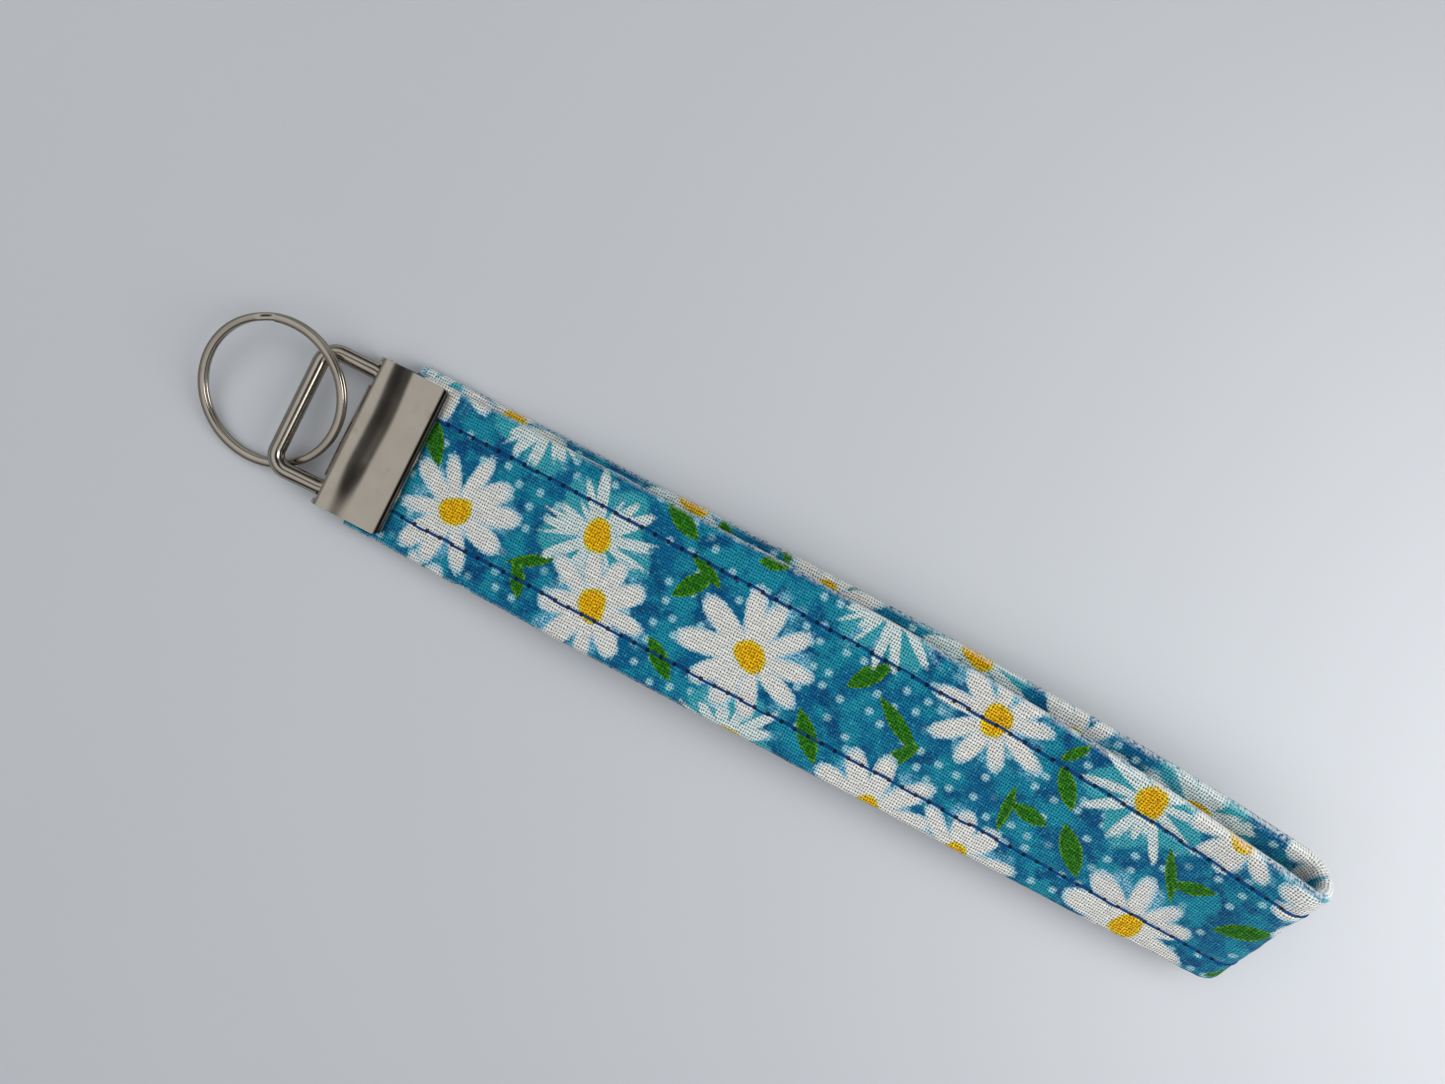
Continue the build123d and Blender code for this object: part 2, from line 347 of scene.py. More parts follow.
def sewing_thread():
    """Navy polyester thread, twisted, with a slight sheen."""
    graph = Graph(bpy.data.materials.new("navy_thread"))
    cloth = graph.attribute("cloth")
    along, _, _ = graph.split(cloth)
    twist_lines = graph.math("SINE", graph.math("MULTIPLY", along, 22.0))
    worn = graph.noise(cloth, 1.1, 3.0)
    navy, worn_navy, shadow = linear(2, 52, 112), linear(10, 82, 150), linear(3, 12, 40)
    colour = graph.mix(worn, navy, worn_navy)
    colour = graph.mix(graph.step(twist_lines, -0.9, -0.1, 0.5, 0.0), colour, shadow)
    at_hole = graph.step(to_needle_hole(graph, along), 0.18, 0.42, 0.9, 0.0)
    colour = graph.mix(at_hole, colour, shadow)
    normal = graph.bump(twist_lines, 0.00005, 0.6)
    return graph.finish(Base_Color=colour, Roughness=0.7, Specular_IOR_Level=0.2, Normal=normal)


def nickel(name, grain, creased=False):
    """Bright nickel plate, with its fine marks stretched by grain.

    A creased sheet has a dip past its spine, with a painted dark reflection along the crease and
    another along the lip; a wire gets painted shade towards its outline.
    """
    graph = Graph(bpy.data.materials.new(name))
    place = graph.vector("SCALE", graph.node("ShaderNodeTexCoord").outputs["Object"])
    graph.feed(place.node.inputs["Scale"], 1 / MM)
    marks = graph.noise(graph.vector("MULTIPLY", place, grain), 3.0, 4.0, 0.6)
    haze = graph.noise(place, 0.22, 3.0, 0.5)
    stain = graph.noise(graph.vector("ADD", place, (7.0, 3.0, 0.0)), 0.34, 4.0, 0.6)
    warm_grey, pale_grey = linear(172, 162, 148), linear(192, 184, 172)
    stain_colour = linear(138, 122, 106)
    colour = graph.mix(haze, warm_grey, pale_grey)
    colour = graph.mix(graph.step(stain, 0.56, 0.80, 0.0, 0.35), colour, stain_colour)
    rough = graph.math("MULTIPLY_ADD", haze, 0.08, 0.13 if creased else 0.05)
    rough = graph.math("MULTIPLY_ADD", marks, 0.06, rough)
    normal = graph.bump(marks, 0.000012, 0.3)
    if creased:
        x, y, _ = graph.split(place)
        dip_start, dip_stop, dip_depth, reflection_band_x = -3.9, 0.5, 1.0, -1.9
        painted_reflection_colour, painted_lip_reflection_colour = linear(30, 26, 24), linear(20, 17, 16)
        wander = graph.math("MULTIPLY_ADD", graph.noise(place, 0.07, 0.0), 1.8, -0.9)
        crease = graph.math("ADD", x, wander)
        fading = graph.step(y, -12.0, -3.0, 0.45, 1.0)
        dip = graph.step(crease, dip_start, dip_stop, 0.0, -dip_depth)
        dip = graph.math("MULTIPLY", dip, fading)
        # Painted reflection: the colour darkens in a soft band along the crease, where the dark
        # shape over the camera would reflect.
        to_reflection_band = graph.math("ABSOLUTE", graph.math("ADD", crease, -reflection_band_x))
        painted_reflection_mask = graph.step(to_reflection_band, 0.1, 1.5, 0.7, 0.0)
        colour = graph.mix(graph.math("MULTIPLY", painted_reflection_mask, fading), colour, painted_reflection_colour)
        normal = graph.bump(dip, MM, 1.0, under=normal)
        # Painted reflection: a near-black band of colour on the lip's rounded edge, where a dark
        # part of the room would reflect, leaving the outermost edge bright.
        lip_reflection_begins, lip_reflection_ends = graph.step(x, 4.95, 5.3), graph.step(x, 5.85, 6.0, 0.96, 0.0)
        colour = graph.mix(graph.math("MULTIPLY", lip_reflection_begins, lip_reflection_ends), colour, painted_lip_reflection_colour)
    else:
        # Painted shade: the colour darkens towards the wire's outline from whatever side it is
        # seen, standing in for dark reflections at its edges.
        edge_on = graph.node("ShaderNodeLayerWeight").outputs["Facing"]
        painted_outline_shade = linear(48, 41, 34)
        colour = graph.mix(graph.step(edge_on, 0.40, 0.80, 0.0, 0.92), colour, painted_outline_shade)
    return graph.finish(Base_Color=colour, Metallic=1.0, Roughness=rough, Normal=normal)


def pale_floor():
    """Matt pale table top, slightly uneven in tone."""
    graph = Graph(bpy.data.materials.new("pale_floor"))
    place = graph.node("ShaderNodeTexCoord").outputs["Object"]
    tone = graph.noise(place, 9.0, 4.0)
    colour = graph.mix(tone, linear(192, 196, 201), linear(197, 200, 205))
    return graph.finish(Base_Color=colour, Roughness=0.7, Specular_IOR_Level=0.2)


# ------------------------------------------------------------------ the strap's shape


def smooth(value, low, high):
    """A smooth step from 0 to 1 between low and high, for arrays."""
    share = np.clip((value - low) / (high - low), 0, 1)
    return share * share * (3 - 2 * share)


def bell(distance, width):
    """A bell-shaped falloff from 1, for arrays."""
    return np.exp(-((distance / width) ** 2))


def loop_share(x):
    """How far x lies along the loop, from 0 at the clamp's lip to 1 at its tip."""
    return np.clip((x - lip_x) / (loop_tip - lip_x), 0, 1)


def ripple(along, wavelength, seed):
    """A gentle irregular wave along the strap, between -1 and 1."""
    draw = np.random.RandomState(seed)
    total = np.zeros_like(along)
    for octave in range(4):
        length = wavelength * (0.62**octave) * draw.uniform(0.85, 1.15)
        total += 0.55**octave * np.sin(2 * np.pi * (along / length + draw.uniform()))
    return total / 2


def strap_frames(run, side):
    """Middle point, outward and across directions and thickness of the strap at each run length."""
    x_leg = np.minimum(run, bight_x)
    turn = np.maximum(run - bight_x, 0) / bight_half_gap
    x = x_leg + bight_half_gap * np.sin(turn)
    roll = twist_at_bight * loop_share(x) ** twist_power
    spread = np.sin(np.pi / 2 * np.minimum(1, loop_share(x_leg) / spread_share))
    gap = root_half_gap + (bight_half_gap - root_half_gap) * spread
    height = strap_width / 2 * np.sin(roll) + (gap + strap_thickness / 2) * np.cos(roll) + table_gap

    free = smooth(x, lip_x - 0.2, lip_x + 4.5)
    pinch = bell(x - lip_x + 0.4, 0.9)
    gripped = gripped_thickness - pinch_depth * pinch
    thickness = gripped + (strap_thickness - gripped) * free
    gap = (thickness + layer_gap) / 2 * (1 - free) + gap * free
    height = clamp_middle * (1 - free) + height * free

    leaving = upper_offset if side > 0 else lower_offset
    offset = leaving * np.clip((bight_x - x) / (bight_x - lip_x), 0, 1)
    offset -= low_edge_hold * strap_width / 2 * (1 - np.cos(roll))

    zero = np.zeros_like(x)
    across = np.stack([zero, np.cos(roll), np.sin(roll)], 1)
    face = np.stack([zero, -np.sin(roll), np.cos(roll)], 1)
    swing = np.stack([np.sin(turn), zero, zero], 1)
    out = swing + side * np.cos(turn)[:, None] * face
    middle = np.stack([x, offset, height], 1) + side * (gap * np.cos(turn))[:, None] * face
    return middle, out, across, thickness


def section_columns():
    """Points round the strap's section: how far across, the share of the way out, how far round."""
    flat = strap_width / 2 - edge_radius
    outer = np.linspace(-flat, flat, outer_columns)
    inner = np.linspace(flat, -flat, inner_columns)
    arc = np.linspace(0, np.pi, edge_columns + 2)[1:-1]
    half = arc[arc.size // 2 :]
    across = np.concatenate([-flat - edge_radius * np.sin(half), outer])
    share = np.concatenate([-np.cos(half), np.ones(outer_columns)])
    across = np.concatenate([across, flat + edge_radius * np.sin(arc), inner])
    share = np.concatenate([share, np.cos(arc), -np.ones(inner_columns)])
    last = arc[: arc.size // 2 + 1]
    across = np.concatenate([across, -flat - edge_radius * np.sin(last)])
    share = np.concatenate([share, -np.cos(last)])
    step = np.hypot(np.diff(across), np.diff(share) * edge_radius)
    round_section = np.concatenate([[0], np.cumsum(step)])
    start = round_section[half.size] + flat
    return across, share, round_section - start


COLUMN_ACROSS, COLUMN_SHARE, COLUMN_ROUND = section_columns()
PERIMETER = COLUMN_ROUND[-1] - COLUMN_ROUND[0]


def relief(along, across, share):
    """How far the cloth's surface stands out, in millimetres: stitch valleys, puckers and waves."""
    from_row = np.abs(across) - stitch_row
    valley = -0.20 * bell(from_row, 0.55)
    needle = np.cos(2 * np.pi * along / stitch_pitch)
    pucker = -0.05 * needle * bell(from_row, 1.3)
    puff = 0.06 * bell(np.abs(across) - 11.3, 1.4)
    wave = 0.07 * ripple(along + 0.7 * across, 11.0, SEED) * np.cos(across / 9)
    slack = 0.05 * ripple(along - 1.3 * across, 6.0, SEED + 1)
    return (valley + pucker + puff + wave + slack) * np.abs(share)


def strap_surface(run, side, cloth_along, across, share, lift=0.0):
    """Points on the cloth's surface; every argument is an array of the same length."""
    middle, out, across_dir, thickness = strap_frames(run, side)
    free = smooth(run, lip_x - 1, lip_x + 6)
    edge = 1 + 0.006 * free * ripple(cloth_along, 26.0, SEED + 2)
    shape = relief(cloth_along, across, share) * free
    depth = share * thickness / 2 + np.sign(share) * (shape + lift)
    return middle + out * depth[:, None] + across_dir * (across * edge)[:, None]


# ------------------------------------------------------------------ the print

# Each flower: (kind, along, across, radius, petals, turn in degrees). Millimetres from the clamp's
# middle along the strap and from its centre line across it.
UPPER_FLOWERS = (
    ("daisy", 15.3, -3.3, 10.8, 10, 85),
    ("spiky", 37.1, 3.7, 10.4, 12, 10),
    ("daisy", 41.1, -6.1, 10.4, 9, 40),
    ("daisy", 66.0, -1.4, 12.0, 10, 80),
    ("spiky", 22.8, 16.6, 10.5, 12, 10),
    ("daisy", 5.6, 17.2, 9.4, 9, 45),
    ("spiky", 81.9, 16.2, 10.8, 12, 25),
    ("spiky", 68.0, -15.0, 9.6, 12, 0),
    ("daisy", 92.4, -14.4, 11.8, 10, 90),
    ("daisy", 102.0, 8.8, 10.4, 9, 20),
    ("daisy", 107.5, -14.4, 10.6, 9, 60),
    ("spiky", 125.8, 10.8, 10.6, 12, 12),
    ("daisy", 138.2, 15.0, 9.6, 9, 40),
    ("daisy", 135.2, -10.6, 11.4, 9, 62),
    ("daisy", 155.6, 10.2, 10.6, 9, 0),
    ("daisy", 15.6, -19.6, 9.8, 9, 75),
)
# Each leaf: base along, base across, tip along, tip across, greatest half width.
UPPER_LEAVES = (
    (4.6, 8.8, 9.8, 1.4, 1.5),
    (26.0, -6.6, 33.0, -2.4, 0.95),
    (27.4, -5.2, 30.4, -10.8, 1.2),
    (44.6, 13.2, 51.2, 10.4, 1.4),
    (60.5, 12.0, 65.3, 13.6, 1.1),
    (51.2, 1.0, 55.8, 7.3, 1.5),
    (51.0, 8.4, 57.6, 5.6, 1.0),
    (51.0, -6.0, 56.8, -10.8, 1.4),
    (80.7, 1.6, 85.2, 8.0, 1.5),
    (85.8, 3.0, 94.8, -2.2, 1.25),
    (94.6, -0.6, 90.6, -7.3, 1.15),
    (76.2, -4.7, 82.2, -11.6, 1.5),
    (113.0, 8.4, 118.0, 2.5, 1.35),
    (114.9, 13.2, 112.4, 8.6, 0.9),
    (109.4, 1.6, 110.9, -7.1, 0.85),
    (110.2, -1.4, 116.6, -1.8, 1.35),
    (118.2, 0.4, 124.6, -7.1, 1.65),
    (131.8, 6.4, 137.6, -2.4, 0.8),
    (135.5, 0.8, 141.2, 3.7, 1.3),
    (144.5, -2.6, 151.4, 2.9, 1.6),
    (149.5, -12.2, 154.4, -8.4, 1.3),
    (10.6, -14.0, 15.4, -13.6, 1.4),
)
# The lower leg's inner face, in the same measures but along the lower leg.
LOWER_INNER_FLOWERS = (
    ("daisy", 16.3, 11.2, 10.0, 9, 30),
    ("daisy", 72.3, 10.2, 10.0, 9, 5),
    ("spiky", 47.7, 14.2, 10.0, 12, 5),
    ("spiky", 96.7, 13.7, 10.5, 12, 5),
    ("daisy", 114.8, 8.4, 10.0, 9, 80),
    ("spiky", 134.1, 8.6, 10.6, 12, 40),
)


def cloth_span():
    """The run of cloth from one raw end to the other."""
    return 2 * strap_middle


def scatter_flowers(placed, first, last):
    """Seeded flowers over the cloth that the two lists leave bare, kept a flower's width apart."""
    draw = np.random.RandomState(SEED + 11)
    flowers = list(placed)
    tries, spacing = 900, 14.5
    for _ in range(tries):
        along = draw.uniform(first, last)
        round_at = draw.uniform(COLUMN_ROUND[0], COLUMN_ROUND[-1])
        on_listed_face = along < strap_middle + 6 and abs(round_at) < strap_width / 2 + 1
        near = min(math.hypot(along - f[1], round_at - f[2]) for f in flowers)
        if on_listed_face or near < spacing:
            continue
        kind, petals = ("spiky", 12) if draw.uniform() < 0.35 else ("daisy", 9)
        flowers.append((kind, along, round_at, draw.uniform(9, 11), petals, draw.uniform(0, 90)))
    return flowers


def scatter_leaves(placed, flowers):
    """Seeded leaves between the flowers."""
    draw = np.random.RandomState(SEED + 12)
    leaves = list(placed)
    tries, from_flower, from_leaf, length = 700, 9.0, 8.5, 6.5
    for _ in range(tries):
        along = draw.uniform(strap_end, cloth_span() - strap_end)
        round_at = draw.uniform(COLUMN_ROUND[0], COLUMN_ROUND[-1])
        if along < strap_middle + 4 and abs(round_at) < strap_width / 2:
            continue
        if min(math.hypot(along - f[1], round_at - f[2]) for f in flowers) < from_flower:
            continue
        if min(math.hypot(along - l[0], round_at - l[1]) for l in leaves) < from_leaf:
            continue
        turn = draw.uniform(0, 2 * math.pi)
        tip = (along + length * math.cos(turn), round_at + length * math.sin(turn))
        leaves.append((along, round_at, *tip, draw.uniform(1.1, 1.45)))
    return leaves


def whole_print():
    """Every flower and leaf, in cloth measures: along the strap and round its section."""
    inner_round = PERIMETER / 2
    lower = [
        (kind, cloth_span() - along, inner_round - across, *rest)
        for kind, along, across, *rest in LOWER_INNER_FLOWERS
    ]
    bare = [(kind, a, c + PERIMETER * k, *r) for kind, a, c, *r in UPPER_FLOWERS for k in (0, 1)]
    flowers = scatter_flowers(bare + lower, strap_end, cloth_span() - strap_end)
    return flowers, scatter_leaves(UPPER_LEAVES, flowers)


def turned(dx, dy, angle):
    """A direction's parts along and across an axis that is turned by angle."""
    return (
        dx * math.cos(angle) + dy * math.sin(angle),
        -dx * math.sin(angle) + dy * math.cos(angle),
    )


def ellipse(along, across, middle, length, width):
    """How far inside a blunt ellipse pointing along, with its middle that far along."""
    blunt = 2.3
    far = np.abs((along - middle) / length) ** blunt + np.abs(across / width) ** blunt
    return (1 - far ** (1 / blunt)) * width


def add_petals(field, dx, dy, radius, count, turn, width, seed, shortest=0.8, stray=0.2):
    """Raise field, in place, to the inside distance of a ring of petals, widest near their tips."""
    draw = np.random.RandomState(seed)
    for k in range(count):
        angle = turn + 2 * math.pi * (k + draw.uniform(-stray, stray)) / count
        length = radius * draw.uniform(shortest, 1.0)
        ax, ay = turned(dx, dy, angle)
        ay += draw.uniform(-0.5, 0.5) * (ax / radius) ** 2
        half = length * 0.49
        reach = np.clip(ax / length, 0, 1)
        taper = width * draw.uniform(0.8, 1.2) * (0.8 + 0.38 * reach)
        np.maximum(field, ellipse(ax, ay, length - half, half, taper), out=field)


def print_fields(along, around):
    """How far inside each printed motif a point of the cloth lies, in millimetres."""
    outside = -3.0
    names = ("white", "pale", "spike", "halo", "heart", "leaf")
    fields = {name: np.full(along.shape, outside) for name in names}
    for number, (kind, u, w, radius, petals, turn) in enumerate(FLOWERS):
        near = np.nonzero(np.hypot(along - u, around - w) < radius * 1.25)[0]
        if near.size == 0:
            continue
        dx, dy = along[near] - u, around[near] - w
        local = {name: values[near] for name, values in fields.items()}
        seed = SEED + 100 + number
        turn = math.radians(turn)
        tilt = np.random.RandomState(seed).uniform(0, math.pi)
        if kind == "daisy":
            width = radius * 1.42 / petals
            add_petals(local["white"], dx, dy, radius, petals, turn, width, seed)
            back, far, thin = turn + math.pi / petals, radius * 0.97, width * 0.9
            add_petals(local["pale"], dx, dy, far, petals, back, thin, seed + 1, 0.7, 0.4)
        else:
            spikes, far = local["spike"], radius * 0.95
            add_petals(spikes, dx, dy, radius, petals, turn, 0.78, seed, 0.6, 0.3)
            add_petals(spikes, dx, dy, far, 13, turn + 0.4, 0.34, seed + 2, 0.5, 0.5)
            add_petals(local["pale"], dx, dy, radius, 15, turn + 0.2, 0.5, seed + 1, 0.6, 0.5)
            swell = 1 + 0.16 * np.sin(5 * np.arctan2(dy, dx) + seed)
            np.maximum(local["halo"], radius * 0.78 * swell - np.hypot(dx, dy), out=local["halo"])
        hx, hy = turned(dx, dy, tilt)
        lump = 1 + 0.05 * np.sin(3 * np.arctan2(hy, hx) + seed)
        heart = ellipse(hx, hy, 0, 2.75 * lump, 2.15 * lump)
        np.maximum(local["heart"], heart, out=local["heart"])
        for name, values in local.items():
            fields[name][near] = values
    for base_u, base_w, tip_u, tip_w, width in LEAVES:
        run, rise = tip_u - base_u, tip_w - base_w
        length = math.hypot(run, rise)
        dx, dy = along - base_u, around - base_w
        share = (dx * run + dy * rise) / length**2
        off = np.abs(dy * run - dx * rise) / length
        inside = width * (1 - (2 * share - 1) ** 2) - off
        inside = np.where(np.abs(share - 0.5) < 0.8, inside, outside)
        np.maximum(fields["leaf"], inside, out=fields["leaf"])
    return fields


FLOWERS, LEAVES = whole_print()

# ------------------------------------------------------------------ meshes


def add_to_scene(made):
    bpy.context.scene.collection.objects.link(made)
    return made


def make_object(name, points, faces, material, smooth_faces=True):
    """A mesh object from points in millimetres."""
    mesh = bpy.data.meshes.new(name)
    mesh.from_pydata((points * MM).tolist(), [], faces)
    mesh.materials.append(material)
    mesh.polygons.foreach_set("use_smooth", [smooth_faces] * len(mesh.polygons))
    return add_to_scene(bpy.data.objects.new(name, mesh))


def store_vectors(made, name, *columns):
    """Keep three numbers for each vertex, for the material's nodes to read."""
    data = made.data.attributes.new(name, "FLOAT_VECTOR", "POINT").data
    data.foreach_set("vector", np.stack(columns, 1).astype(np.float32).ravel())


def grid_faces(rows, columns, wrap_columns=False, flip=False):
    """Quads over a grid of points laid out row by row."""
    faces = []
    for row in range(rows - 1):
        low, high = row * columns, (row + 1) * columns
        for column in range(columns if wrap_columns else columns - 1):
            right = (column + 1) % columns
            quad = (low + column, low + right, high + right, high + column)
            faces.append(quad[::-1] if flip else quad)
    return faces


def strap_piece(name, side, start, stop, material):
    """One stretch of the folded cotton band, as a tube of cloth."""
    rows = int(math.ceil((stop - start) / row_step)) + 1
    columns = COLUMN_ACROSS.size
    run = np.repeat(np.linspace(start, stop, rows), columns)
    across, share = np.tile(COLUMN_ACROSS, rows), np.tile(COLUMN_SHARE, rows)
    around = np.tile(COLUMN_ROUND, rows)
    along = run if side > 0 else cloth_span() - run
    points = strap_surface(run, side, along, across, share)
    faces = grid_faces(rows, columns, wrap_columns=True, flip=side > 0)
    if start <= strap_end:
        cap = tuple(range(columns))
        faces.append(cap[::-1] if side < 0 else cap)
    made = make_object(name, points, faces, material)
    store_vectors(made, "cloth", along, around, np.zeros_like(along))
    fields = print_fields(along, around)
    store_vectors(made, "petals", fields["white"], fields["pale"], fields["spike"])
    store_vectors(made, "greens", fields["halo"], fields["heart"], fields["leaf"])
    # Fold wear, then the distance from the stitch row and the share out to the face, which place
    # the painted needle-hole shade.
    fold = np.clip((np.abs(across) - strap_width / 2 + 0.5) / 0.5, 0, 1)
    store_vectors(made, "wear_and_hole_shade", fold * 0.8, np.abs(across) - stitch_row, np.abs(share))
    return made


def stitch_piece(name, side, start, stop, material):
    """The lockstitches of one stretch: both rows, on both faces."""
    draw = np.random.RandomState(SEED + 40)
    sides, stations = 8, 9
    points, faces, along_all = [], [], []
    ring = np.linspace(0, 2 * np.pi, sides, endpoint=False)
    first = math.ceil(start / stitch_pitch - 0.5)
    last = math.ceil(stop / stitch_pitch - 0.5)
    for number in range(first, last):
        for row in (-stitch_row, stitch_row):
            for face in (1.0, -1.0):
                share = np.linspace(0, 1, stations)
                run = (number + 0.5 + share) * stitch_pitch
                bow = np.sin(np.pi * share)
                stray = row + 0.12 * np.sin(number * 1.7 + row)
                stray = stray + 0.10 * draw.uniform(-1, 1) * bow
                along = run if side > 0 else cloth_span() - run
                lift = -0.14 + 0.26 * bow**0.5
                flat = np.full(stations, face)
                centre = strap_surface(run, side, along, stray, flat, lift)
                _, out, across_dir, _ = strap_frames(run, side)
                girth = thread_radius * (0.55 + 0.45 * bow**0.5)
                up, sideways = np.outer(girth, np.sin(ring)), np.outer(girth, np.cos(ring))
                tube = (
                    centre[:, None, :]
                    + out[:, None, :] * up[..., None]
                    + across_dir[:, None, :] * sideways[..., None]
                )
                base = len(points) * sides * stations
                faces += [
                    tuple(base + corner for corner in quad)
                    for quad in grid_faces(stations, sides, wrap_columns=True, flip=side < 0)
                ]
                points.append(tube.reshape(-1, 3))
                along_all.append(np.repeat(along, sides))
    made = make_object(name, np.concatenate(points), faces, material)
    along_all = np.concatenate(along_all)
    zero = np.zeros_like(along_all)
    store_vectors(made, "cloth", along_all, zero, zero)
    return made


def build_strap():
    """The strap in stretches along each leg, with their stitches."""
    cotton, thread = printed_cotton(), sewing_thread()
    neck_x = (joint_mm("strap_flex")[0] + joint_mm("loop_open")[0]) / 2
    fold_x = joint_mm("upper_fold")[0]
    bight_joint = joint_mm("upper_bight_flex")[0]
    root_split, fold_split = 38.0, 121.0
    fold_bend = fold_x - 30, fold_x + 30
    bight_bend = bight_joint - 13, bight_x
    for leg, side in (("upper", 1), ("lower", -1)):
        stretches = (
            ("grip", strap_end, neck_x, "clamp", "neck", lip_x, neck_x - 0.3),
            ("root", neck_x, root_split, "neck", f"{leg}_root", neck_x + 0.3, neck_x + 10),
            ("fold", root_split, fold_split, f"{leg}_root", f"{leg}_middle", *fold_bend),
            ("bight", fold_split, strap_middle, f"{leg}_middle", f"{leg}_tip", *bight_bend),
        )
        stands_for = {"grip": "grip", "root": "neck", "fold": "leg_1", "bight": "leg_2"}
        for name, start, stop, body, next_body, bend_start, bend_stop in stretches:
            cloth = strap_piece(f"{leg}_{name}_cloth", side, start, stop, cotton)
            stitches = stitch_piece(f"{leg}_{name}_stitches", side, start, stop, thread)
            for piece in (cloth, stitches):
                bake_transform(piece)
            node = f"{leg}_{stands_for[name]}"
            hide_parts(f"{node}_cover", f"{node}_interfacing")
            if name == "bight":
                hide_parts(f"{leg}_bight_cover", f"{leg}_bight_interfacing")
                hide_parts(f"{leg}_bight_topstitching")
            if name != "grip":
                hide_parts(f"{node}_topstitching")


# ------------------------------------------------------------------ metal, stage and camera


def look_down_strap():
    """The camera: almost straight over the strap, which runs down to the right in its view."""
    lens = 29.9
    place = Vector((56.68, 18.56, 190.54)) * MM
    turn = (
        Matrix.Rotation(math.radians(-2.292), 4, "X")
        @ Matrix.Rotation(math.radians(0.707), 4, "Y")
        @ Matrix.Rotation(math.radians(27.095), 4, "Z")
    )
    camera = bpy.data.objects.new("camera", bpy.data.cameras.new("camera"))
    camera.data.lens = lens
    camera.data.sensor_width = 36.0
    camera.data.clip_start = 0.01
    camera.matrix_world = Matrix.Translation(place) @ turn
    bpy.context.scene.camera = add_to_scene(camera)


def softbox(name, place, aim, size, power, colour):
    """A square light that neither the camera nor the metal sees."""
    light = bpy.data.lights.new(name, "AREA")
    light.shape = "RECTANGLE"
    light.size = light.size_y = size
    light.energy = power
    light.color = colour
    made = bpy.data.objects.new(name, light)
    made.location = place
    made.visible_glossy = False
    made.visible_camera = False
    made.rotation_euler = (Vector(aim) - Vector(place)).to_track_quat("-Z", "Y").to_euler()
    add_to_scene(made)


def room():
    """A pale ceiling over a darker room, with the dark shape of whoever stands over the camera.

    The camera itself sees a plain pale backdrop.
    """
    over_camera = (0.29, 0.10, 0.95)
    shape_long_axis, shape_short_axis = (0.89, 0.455, 0.0), (-0.455, 0.89, 0.0)
    glint_side, glint_light, backdrop_light = (0.72, 0.12, 0.68), 4.2, 0.5
    graph = Graph(bpy.data.worlds.new("room"))
    direction = graph.node("ShaderNodeTexCoord").outputs["Generated"]
    along, _, up = graph.split(direction)
    ceiling = graph.step(up, 0.42, 0.90, 0.06, 0.76)
    far_wall = graph.step(along, 0.0, -0.6, 0.0, 0.26)
    light = graph.math("MAXIMUM", ceiling, far_wall)
    off_axis = graph.vector("SUBTRACT", direction, over_camera)
    long_way = graph.math("ABSOLUTE", graph.vector_dot(off_axis, shape_long_axis))
    short_way = graph.math("ABSOLUTE", graph.vector_dot(off_axis, shape_short_axis))
    long_edge = graph.step(long_way, 0.22, 0.46, 1.0, 0.0)
    short_edge = graph.step(short_way, 0.16, 0.36, 1.0, 0.0)
    shade = graph.math("MULTIPLY", long_edge, short_edge)
    shade = graph.math("MULTIPLY", shade, graph.step(up, 0.2, 0.5, 0.0, 0.94))
    light = graph.math("MULTIPLY", light, graph.math("SUBTRACT", 1.0, shade))
    to_glint = graph.vector("DISTANCE", direction, glint_side).node.outputs["Value"]
    light = graph.math("ADD", light, graph.step(to_glint, 0.12, 0.30, glint_light, 0.0))
    seen = graph.node("ShaderNodeLightPath").outputs["Is Camera Ray"]
    backdrop = graph.math("MULTIPLY", seen, graph.math("SUBTRACT", backdrop_light, light))
    light = graph.math("ADD", light, backdrop)
    tint = (0.975, 0.985, 1.0, 1)
    bpy.context.scene.world = graph.finish("Background", Color=tint, Strength=light)


def move_floor_with_strap(floor):
    """Move the floor with the strap: it goes to the lowest of a few points on it, up or down."""
    tracked = (
        ("neck", lip_x + 4, 0),
        ("lower_root", joint_mm("lower_fold")[0], 0),
        ("lower_middle", joint_mm("lower_bight_flex")[0], 0),
        ("lower_tip", loop_tip, 0),
        ("upper_tip", loop_tip, bight_high[2]),
        ("upper_root", joint_mm("upper_fold")[0], grip_high[2]),
    )
    floor.location.z = 0
    driver = floor.driver_add("location", 2).driver
    driver.type = "MIN"
    for number, (body, x, z) in enumerate(tracked):
        mark = bpy.data.objects.new(f"floor_mark_{number}", None)
        mark.location = (x * MM, 0, z * MM)
        add_to_scene(mark)
        bpy.context.view_layer.update()
        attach(mark, body)
        reading = driver.variables.new()
        reading.name = f"z{number}"
        reading.type = "TRANSFORMS"
        target = reading.targets[0]
        target.id = mark
        target.transform_type = "LOC_Z"
        target.transform_space = "WORLD_SPACE"


def build_stage():
    """Pale floor, a soft window beyond the strap's far end, a soft ceiling light and the room."""
    half = 4000
    corners = np.array([(-half, -half, 0), (half, -half, 0), (half, half, 0), (-half, half, 0)])
    middle = [60, 0, -0.02]
    floor = make_object("floor", corners + middle, [(0, 1, 2, 3)], pale_floor(), False)
    move_floor_with_strap(floor)
    window_place, window_aim = (0.245, 0.04, 0.12), (0.18, 0.03, 0)
    ceiling_place, ceiling_aim = (-0.15, 0.0, 0.8), (0.0, 0.0, 0)
    softbox("window", window_place, window_aim, 0.13, 0.19, (1.0, 0.995, 0.98))
    softbox("ceiling", ceiling_place, ceiling_aim, 1.2, 3.2, (1.0, 0.995, 0.985))
    room()


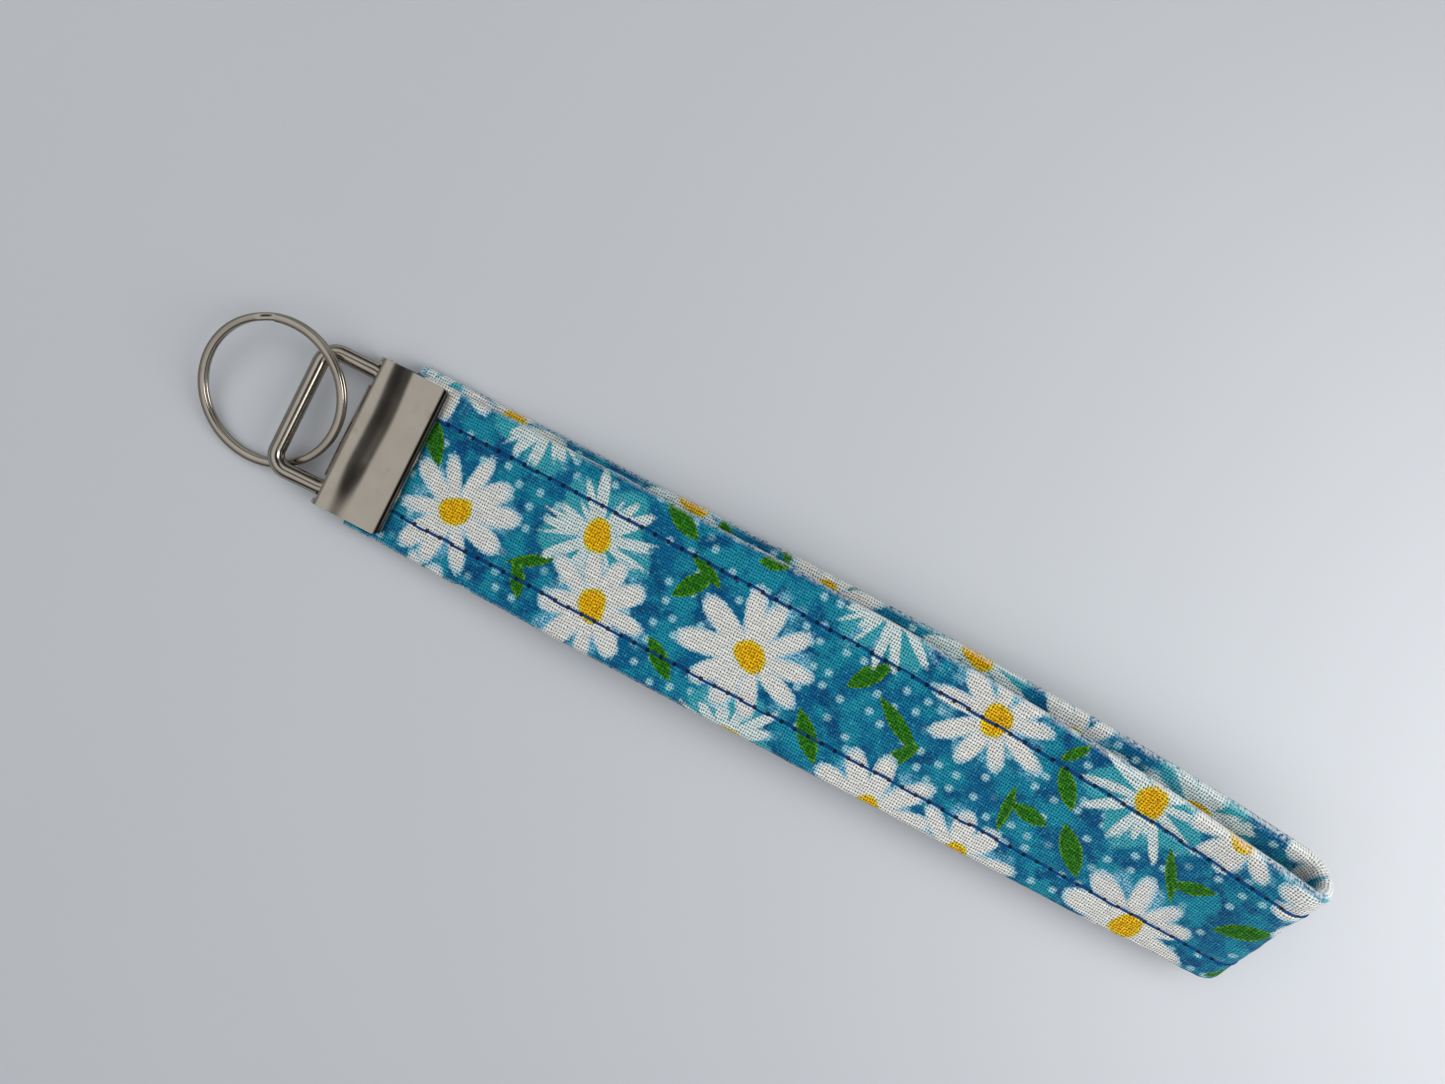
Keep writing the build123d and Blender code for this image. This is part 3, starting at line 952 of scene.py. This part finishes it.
def metal_piece(node, body, material, bevel=0.0):
    """A smooth-shaded stand-in for a plated part, with the bevel on its sharp outer edges."""
    weld, flat = 0.002 * MM, math.radians(0.5)
    sharp_angle, shading_angle = math.radians(50), math.radians(38)
    cad = frame["nodes"][node]
    shape = bmesh.new()
    shape.from_mesh(cad.data)
    bmesh.ops.transform(shape, matrix=cad.matrix_world, verts=shape.verts)
    bmesh.ops.remove_doubles(shape, verts=shape.verts, dist=weld)
    if bevel:
        bmesh.ops.dissolve_limit(shape, angle_limit=flat, verts=shape.verts, edges=shape.edges)
        outer = [edge for edge in shape.edges if edge.is_manifold and edge.is_convex]
        bmesh.ops.bevel(
            shape,
            geom=[edge for edge in outer if edge.calc_face_angle() > sharp_angle],
            offset=bevel * MM,
            segments=3,
            profile=0.5,
            affect="EDGES",
            clamp_overlap=True,
        )
    mesh = bpy.data.meshes.new(node)
    shape.to_mesh(mesh)
    shape.free()
    mesh.polygons.foreach_set("use_smooth", [True] * len(mesh.polygons))
    mesh.set_sharp_from_angle(angle=shading_angle)
    mesh.materials.append(material)
    made = add_to_scene(bpy.data.objects.new(f"{node}_plated", mesh))
    level = made.modifiers.new("level", "WEIGHTED_NORMAL")
    level.keep_sharp = True
    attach(made, body)
    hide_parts(node)


def ring_wire(material):
    """The split ring: one flattened wire coiled twice, stepping from one coil to the other."""
    half_ramp, ramp_at = math.radians(8), math.radians(114)
    stations, sides, corner_power = 560, 20, 0.75
    coil = 2 * math.pi - 2 * half_ramp
    travel = np.linspace(0, 2 * coil + 2 * half_ramp, stations)
    step_up = smooth(travel, coil, coil + 2 * half_ramp)
    height = (2 * step_up - 1) * (coil_thickness + coil_gap) / 2
    turn = ramp_at + half_ramp + travel
    outward = np.stack([np.cos(turn), np.sin(turn), np.zeros_like(turn)], 1)
    section = np.linspace(0, 2 * np.pi, sides, endpoint=False)
    wide, tall = (
        np.sign(wave) * np.abs(wave) ** corner_power * size / 2
        for wave, size in ((np.cos(section), ring_band), (np.sin(section), coil_thickness))
    )
    points = outward[:, None, :] * (ring_radius + wide)[None, :, None]
    points[:, :, 2] += height[:, None] + tall[None, :]
    lean = math.radians(ring_tilt)
    y, z = points[:, :, 1].copy(), points[:, :, 2].copy()
    points[:, :, 1] = y * math.cos(lean) - z * math.sin(lean)
    points[:, :, 2] = y * math.sin(lean) + z * math.cos(lean)
    points += joint_mm("ring_flip")
    faces = grid_faces(stations, sides, wrap_columns=True)
    last = (stations - 1) * sides
    faces.append(tuple(range(sides))[::-1])
    faces.append(tuple(range(last, last + sides)))
    made = make_object("split_ring_plated", points.reshape(-1, 3), faces, material)
    made.data.set_sharp_from_angle(angle=math.radians(50))
    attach(made, "ring")
    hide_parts("split_ring")


build_strap()
metal_piece("crimp_clamp", "clamp", nickel("plated_sheet", (4.0, 0.25, 4.0), creased=True), 0.14)
wire_metal = nickel("plated_wire", (1.0, 1.0, 1.0))
metal_piece("bail_wire", "bail", wire_metal)
ring_wire(wire_metal)
build_stage()
look_down_strap()
bpy.context.scene.view_settings.view_transform = "Standard"
